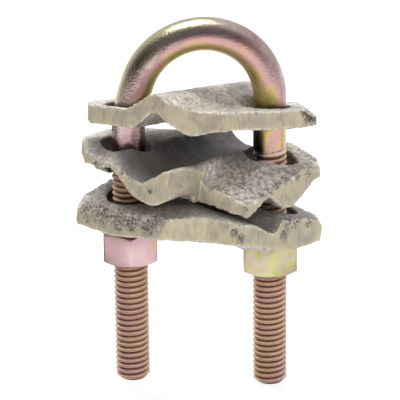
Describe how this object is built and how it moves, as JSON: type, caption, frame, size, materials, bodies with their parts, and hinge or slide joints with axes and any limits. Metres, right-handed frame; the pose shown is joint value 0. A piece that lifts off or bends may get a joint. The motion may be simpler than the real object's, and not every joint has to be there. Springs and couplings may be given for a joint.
{
  "type": "cross connector",
  "caption": "Cast saddle plates stacked on a threaded U-bolt with hex nuts, clamping two bare conductors that cross at a right angle.",
  "frame": {"origin": "middle of the upper conductor where it lies in the middle plate", "axes": "X from leg to leg, Y away from the viewer, Z along the legs with the bend up"},
  "size_m": [0.0663, 0.0524, 0.1044],
  "materials": {
    "plated_steel": "yellow zinc plated, glossy, faint pink and green tint",
    "plated_nut_left": "yellow zinc plated, pink tint",
    "plated_nut_right": "yellow zinc plated, yellow-green tint",
    "cast_bronze": "rough sand-cast bronze, dull khaki grey, sheared edges"
  },
  "bodies": {
    "u_bolt": {"u_bolt": "plated_steel"},
    "bottom_plate": {"bottom_plate": "cast_bronze"},
    "middle_plate": {"middle_plate": "cast_bronze"},
    "top_plate": {"top_plate": "cast_bronze"},
    "left_nut": {"left_nut": "plated_nut_left"},
    "right_nut": {"right_nut": "plated_nut_right"}
  },
  "joints": [
    {"name": "bottom_travel", "type": "slide", "parent": "u_bolt", "child": "bottom_plate", "axis": [0, 0, 1], "range_m": [-0.028, 0.001]},
    {"name": "left_nut_turn", "type": "hinge", "parent": "bottom_plate", "child": "left_nut", "pos_m": [-0.0189, 0, -0.0308], "axis": [0, 0, 1], "range_deg": [-6360, 230]},
    {"name": "right_nut_turn", "type": "hinge", "parent": "bottom_plate", "child": "right_nut", "pos_m": [0.0189, 0, -0.0361], "axis": [0, 0, 1], "range_deg": [-6360, 230]},
    {"name": "middle_lift", "type": "slide", "parent": "bottom_plate", "child": "middle_plate", "axis": [0, 0, 1], "range_m": [-0.0013, 0.0011]},
    {"name": "top_travel", "type": "slide", "parent": "u_bolt", "child": "top_plate", "axis": [0, 0, 1], "range_m": [-0.0018, 0.0015]}
  ],
  "couplings": [
    {"joint": "left_nut_turn", "follows": "bottom_travel", "rad_per_m": 3957.9},
    {"joint": "right_nut_turn", "follows": "bottom_travel", "rad_per_m": 3957.9}
  ]
}
